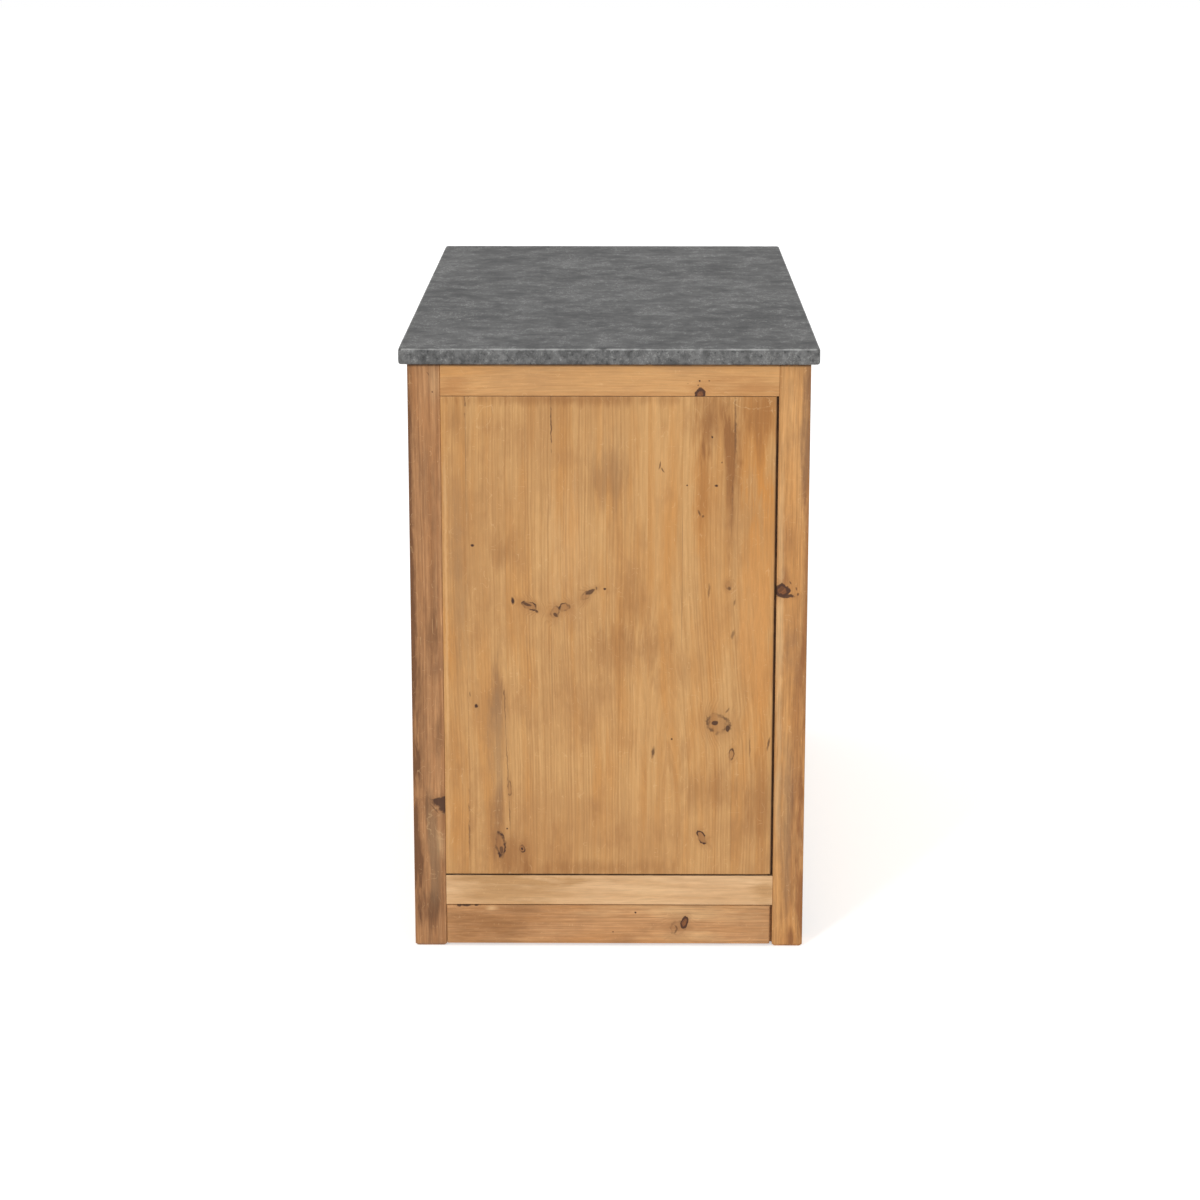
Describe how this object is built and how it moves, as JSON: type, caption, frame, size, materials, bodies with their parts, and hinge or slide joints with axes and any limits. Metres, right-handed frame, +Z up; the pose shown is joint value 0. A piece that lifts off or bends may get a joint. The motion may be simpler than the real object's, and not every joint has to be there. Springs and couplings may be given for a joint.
{
  "type": "kitchen base cabinet",
  "caption": "Free-standing kitchen base cabinet: pine frame with flush end panels and a stone worktop, dovetailed drawers over hinged panelled doors.",
  "frame": {"origin": "on the floor, under the middle of the worktop", "axes": "+Z up; X along the worktop's length; the doors and drawers face -Y, so +X is the right end"},
  "size_m": [1.2, 0.608, 0.9],
  "materials": {
    "bluestone": "honed, worn at the edges",
    "waxed_pine": "reclaimed pine, waxed",
    "waxed_panel": "glued pine boards, waxed",
    "bare_pine": "planed pine, oiled",
    "beech": "planed beech",
    "cast_iron": "blackened and waxed",
    "steel": "dull",
    "catch_plastic": "moulded"
  },
  "bodies": {
    "carcase": {"back_boards": "bare_pine", "back_bottom_rail": "waxed_pine", "back_left_post": "waxed_pine", "back_right_post": "waxed_pine", "back_top_rail": "waxed_pine", "centre_partition": "bare_pine", "door_catches": "catch_plastic", "drawer_runners": "beech", "floor_panel": "bare_pine", "front_bottom_rail": "waxed_pine", "front_drawer_rail": "waxed_pine", "front_left_post": "waxed_pine", "front_lower_muntin": "waxed_pine", "front_plinth": "waxed_pine", "front_right_post": "waxed_pine", "front_top_rail": "waxed_pine", "front_upper_muntin": "waxed_pine", "hinge_frame_leaves": "steel", "hinge_pins": "steel", "left_end_bottom_rail": "waxed_pine", "left_end_panel": "waxed_panel", "left_end_plinth": "waxed_pine", "left_end_top_rail": "waxed_pine", "left_shelf": "bare_pine", "right_end_bottom_rail": "waxed_pine", "right_end_panel": "waxed_panel", "right_end_plinth": "waxed_pine", "right_end_top_rail": "waxed_pine", "right_shelf": "bare_pine", "shelf_battens": "bare_pine", "worktop_slab": "bluestone"},
    "left_door": {"left_door_bottom_rail": "waxed_pine", "left_door_hinge_stile": "waxed_pine", "left_door_knob": "cast_iron", "left_door_lock_stile": "waxed_pine", "left_door_panel": "waxed_panel", "left_door_strike": "steel", "left_door_top_rail": "waxed_pine", "left_hinge_door_leaves": "steel"},
    "right_door": {"right_door_bottom_rail": "waxed_pine", "right_door_hinge_stile": "waxed_pine", "right_door_knob": "cast_iron", "right_door_lock_stile": "waxed_pine", "right_door_panel": "waxed_panel", "right_door_strike": "steel", "right_door_top_rail": "waxed_pine", "right_hinge_door_leaves": "steel"},
    "left_drawer": {"left_drawer_back": "bare_pine", "left_drawer_bottom": "bare_pine", "left_drawer_front": "waxed_pine", "left_drawer_inner_side": "bare_pine", "left_drawer_knob": "cast_iron", "left_drawer_outer_side": "bare_pine"},
    "right_drawer": {"right_drawer_back": "bare_pine", "right_drawer_bottom": "bare_pine", "right_drawer_front": "waxed_pine", "right_drawer_inner_side": "bare_pine", "right_drawer_knob": "cast_iron", "right_drawer_outer_side": "bare_pine"}
  },
  "joints": [
    {"name": "left_door_hinge", "type": "hinge", "parent": "carcase", "child": "left_door", "pos_m": [-0.539, -0.288, 0.383], "axis": [0, 0, -1], "range_deg": [0, 165]},
    {"name": "right_door_hinge", "type": "hinge", "parent": "carcase", "child": "right_door", "pos_m": [0.539, -0.288, 0.383], "axis": [0, 0, 1], "range_deg": [0, 165]},
    {"name": "left_drawer_slide", "type": "slide", "parent": "carcase", "child": "left_drawer", "axis": [0, -1, 0], "range_m": [0, 0.35]},
    {"name": "right_drawer_slide", "type": "slide", "parent": "carcase", "child": "right_drawer", "axis": [0, -1, 0], "range_m": [0, 0.35]}
  ]
}
